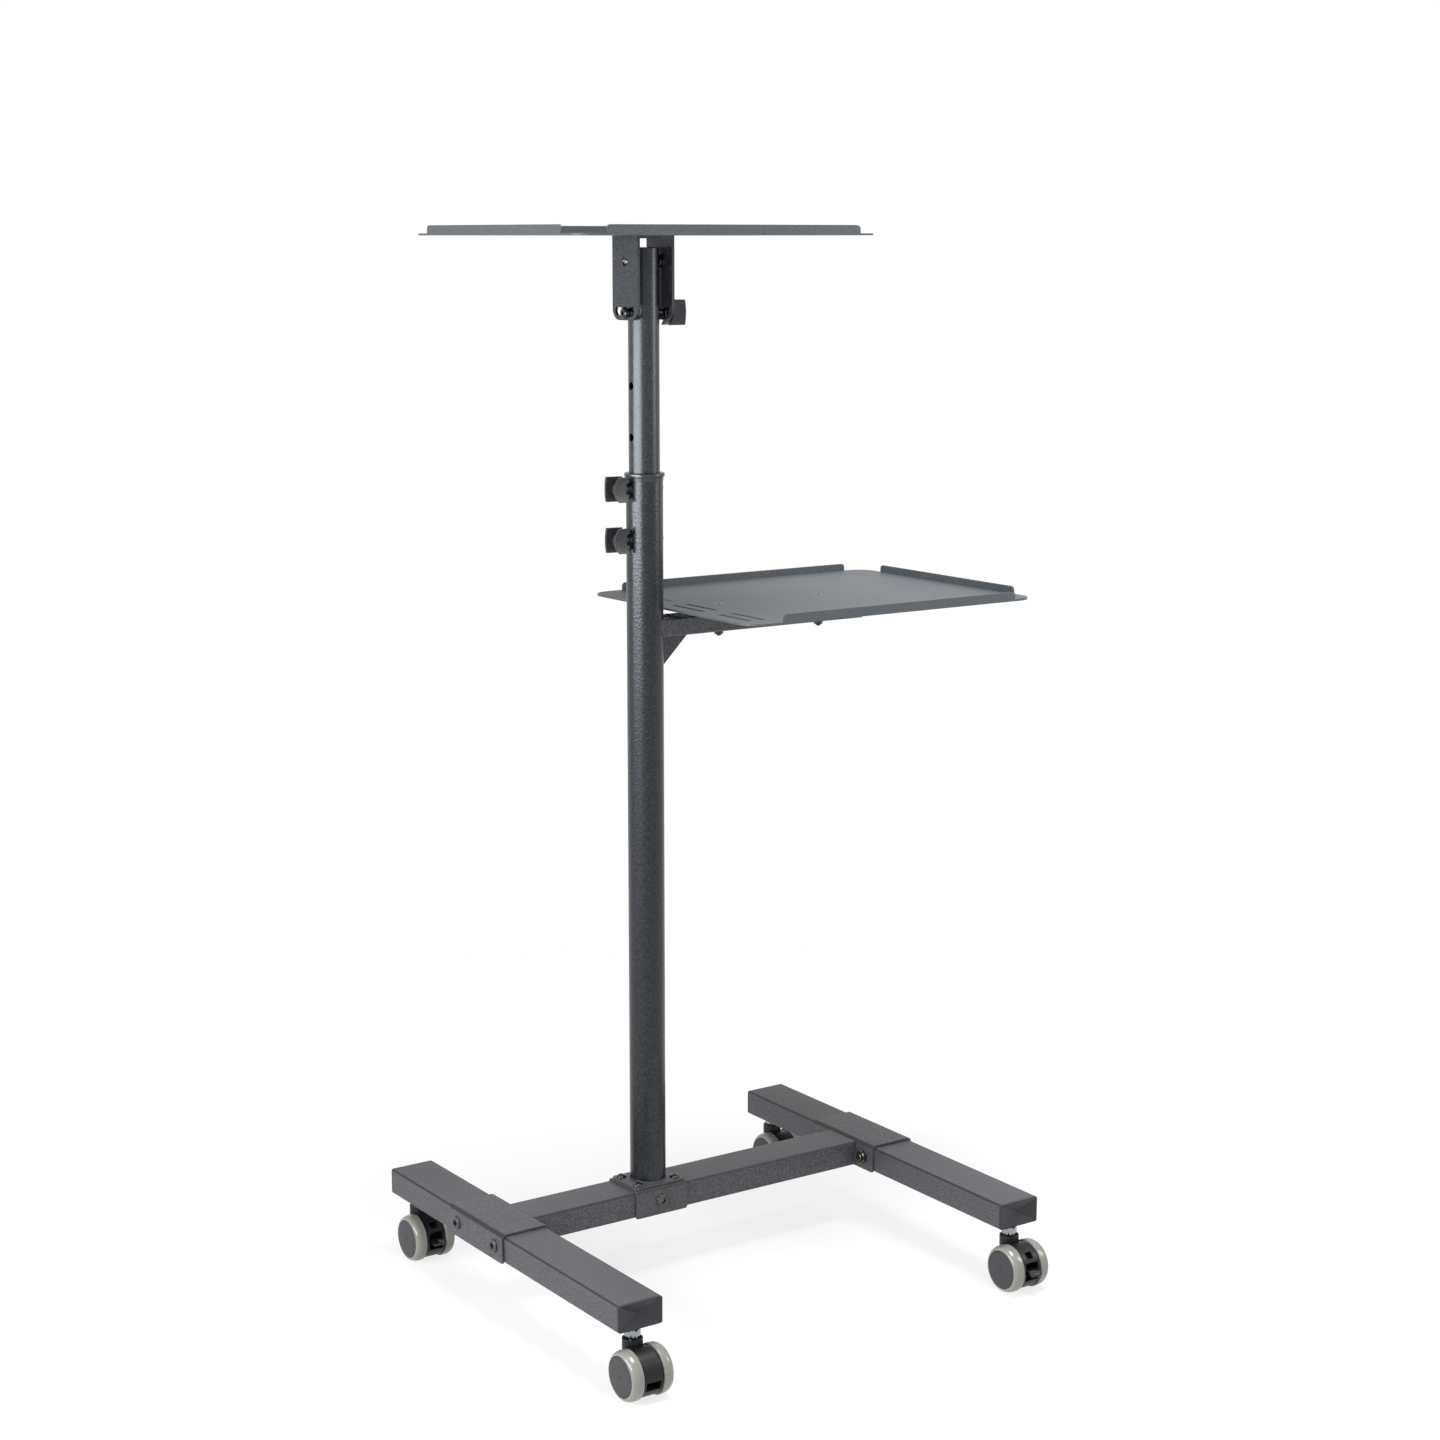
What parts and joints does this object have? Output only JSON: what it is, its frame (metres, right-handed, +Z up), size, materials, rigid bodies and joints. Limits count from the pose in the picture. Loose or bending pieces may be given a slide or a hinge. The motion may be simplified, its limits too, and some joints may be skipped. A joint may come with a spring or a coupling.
{
  "type": "projector cart",
  "caption": "Rolling stand with an H-shaped base on swivel casters, a telescopic column, a fixed side shelf and a tilting top shelf for a projector and a computer.",
  "frame": {"origin": "on the floor under the middle of the cart's box", "axes": "+Z up, +X along the cross beam towards the lower shelf, +Y to the back, so the front is -Y"},
  "size_m": [0.613, 0.491, 1.1017],
  "materials": {
    "frame_coat": "fine-textured charcoal powder coat",
    "mast_coat": "satin charcoal powder coat",
    "shelf_coat": "smooth slate-grey powder coat",
    "cap_plastic": "moulded black plastic",
    "knob_plastic": "moulded black plastic with a fine grain",
    "bright_steel": "bright zinc plate",
    "black_steel": "black oxide, lightly oiled",
    "stem_chrome": "plated steel",
    "hood_plastic": "moulded black plastic",
    "tyre_rubber": "warm grey wheel rubber",
    "hub_plastic": "moulded dark grey plastic"
  },
  "bodies": {
    "base": {"leg_left": "frame_coat", "leg_right": "frame_coat", "sleeve_left": "frame_coat", "sleeve_right": "frame_coat", "cross_beam": "frame_coat", "saddle": "frame_coat", "column_foot": "frame_coat", "column_tube": "frame_coat", "shelf_arm": "frame_coat", "lower_shelf": "shelf_coat", "leg_caps_left": "cap_plastic", "leg_caps_right": "cap_plastic", "column_collar": "cap_plastic", "sleeve_bolts": "black_steel", "saddle_bolt": "black_steel", "foot_screws": "black_steel", "shelf_bolts": "black_steel", "caster_stems": "stem_chrome"},
    "mast": {"mast_tube": "mast_coat", "mast_plug": "cap_plastic", "pivot_pin": "bright_steel", "clamp_bolt": "black_steel"},
    "head": {"tilt_bracket": "frame_coat", "head_screws": "black_steel", "upper_shelf": "shelf_coat"},
    "clamp_upper": {"knob_upper": "knob_plastic", "stud_upper": "bright_steel"},
    "clamp_lower": {"knob_lower": "knob_plastic", "stud_lower": "bright_steel"},
    "clamp_tilt": {"knob_tilt": "knob_plastic"},
    "caster_front_left": {"hood_front_left": "hood_plastic"},
    "wheels_front_left": {"tyres_front_left": "tyre_rubber", "hubs_front_left": "hub_plastic"},
    "caster_back_left": {"hood_back_left": "hood_plastic"},
    "wheels_back_left": {"tyres_back_left": "tyre_rubber", "hubs_back_left": "hub_plastic"},
    "pedal_back_left": {"brake_back_left": "hood_plastic"},
    "caster_front_right": {"hood_front_right": "hood_plastic"},
    "wheels_front_right": {"tyres_front_right": "tyre_rubber", "hubs_front_right": "hub_plastic"},
    "pedal_front_right": {"brake_front_right": "hood_plastic"},
    "caster_back_right": {"hood_back_right": "hood_plastic"},
    "wheels_back_right": {"tyres_back_right": "tyre_rubber", "hubs_back_right": "hub_plastic"}
  },
  "joints": [
    {"name": "column_slide", "type": "slide", "parent": "base", "child": "mast", "axis": [0, 0, 1], "range_m": [-0.104, 0.104]},
    {"name": "shelf_tilt", "type": "hinge", "parent": "mast", "child": "head", "pos_m": [-0.092, 0.0565, 1.066], "axis": [1, 0, 0], "range_deg": [-15, 15]},
    {"name": "upper_knob_turn", "type": "hinge", "parent": "base", "child": "clamp_upper", "pos_m": [-0.092, 0.0565, 0.838], "axis": [1, 0, 0], "continuous": true},
    {"name": "lower_knob_turn", "type": "hinge", "parent": "base", "child": "clamp_lower", "pos_m": [-0.092, 0.0565, 0.786], "axis": [1, 0, 0], "continuous": true},
    {"name": "tilt_knob_turn", "type": "hinge", "parent": "mast", "child": "clamp_tilt", "pos_m": [-0.092, 0.0565, 1.015], "axis": [1, 0, 0], "continuous": true},
    {"name": "front_left_swivel", "type": "hinge", "parent": "base", "child": "caster_front_left", "pos_m": [-0.276, -0.1995, 0.055], "axis": [0, 0, 1], "continuous": true},
    {"name": "front_left_roll", "type": "hinge", "parent": "caster_front_left", "child": "wheels_front_left", "pos_m": [-0.276, -0.2145, 0.025], "axis": [1, 0, 0], "continuous": true},
    {"name": "back_left_swivel", "type": "hinge", "parent": "base", "child": "caster_back_left", "pos_m": [-0.276, 0.2305, 0.055], "axis": [0, 0, 1], "continuous": true},
    {"name": "back_left_roll", "type": "hinge", "parent": "caster_back_left", "child": "wheels_back_left", "pos_m": [-0.276, 0.2155, 0.025], "axis": [1, 0, 0], "continuous": true},
    {"name": "back_left_brake", "type": "hinge", "parent": "caster_back_left", "child": "pedal_back_left", "pos_m": [-0.276, 0.1995, 0.025], "axis": [-1, 0, 0], "range_deg": [0, 20]},
    {"name": "front_right_swivel", "type": "hinge", "parent": "base", "child": "caster_front_right", "pos_m": [0.196, -0.1995, 0.055], "axis": [0, 0, 1], "continuous": true},
    {"name": "front_right_roll", "type": "hinge", "parent": "caster_front_right", "child": "wheels_front_right", "pos_m": [0.196, -0.2145, 0.025], "axis": [1, 0, 0], "continuous": true},
    {"name": "front_right_brake", "type": "hinge", "parent": "caster_front_right", "child": "pedal_front_right", "pos_m": [0.196, -0.2305, 0.025], "axis": [-1, 0, 0], "range_deg": [0, 20]},
    {"name": "back_right_swivel", "type": "hinge", "parent": "base", "child": "caster_back_right", "pos_m": [0.196, 0.2305, 0.055], "axis": [0, 0, 1], "continuous": true},
    {"name": "back_right_roll", "type": "hinge", "parent": "caster_back_right", "child": "wheels_back_right", "pos_m": [0.196, 0.2155, 0.025], "axis": [1, 0, 0], "continuous": true}
  ]
}
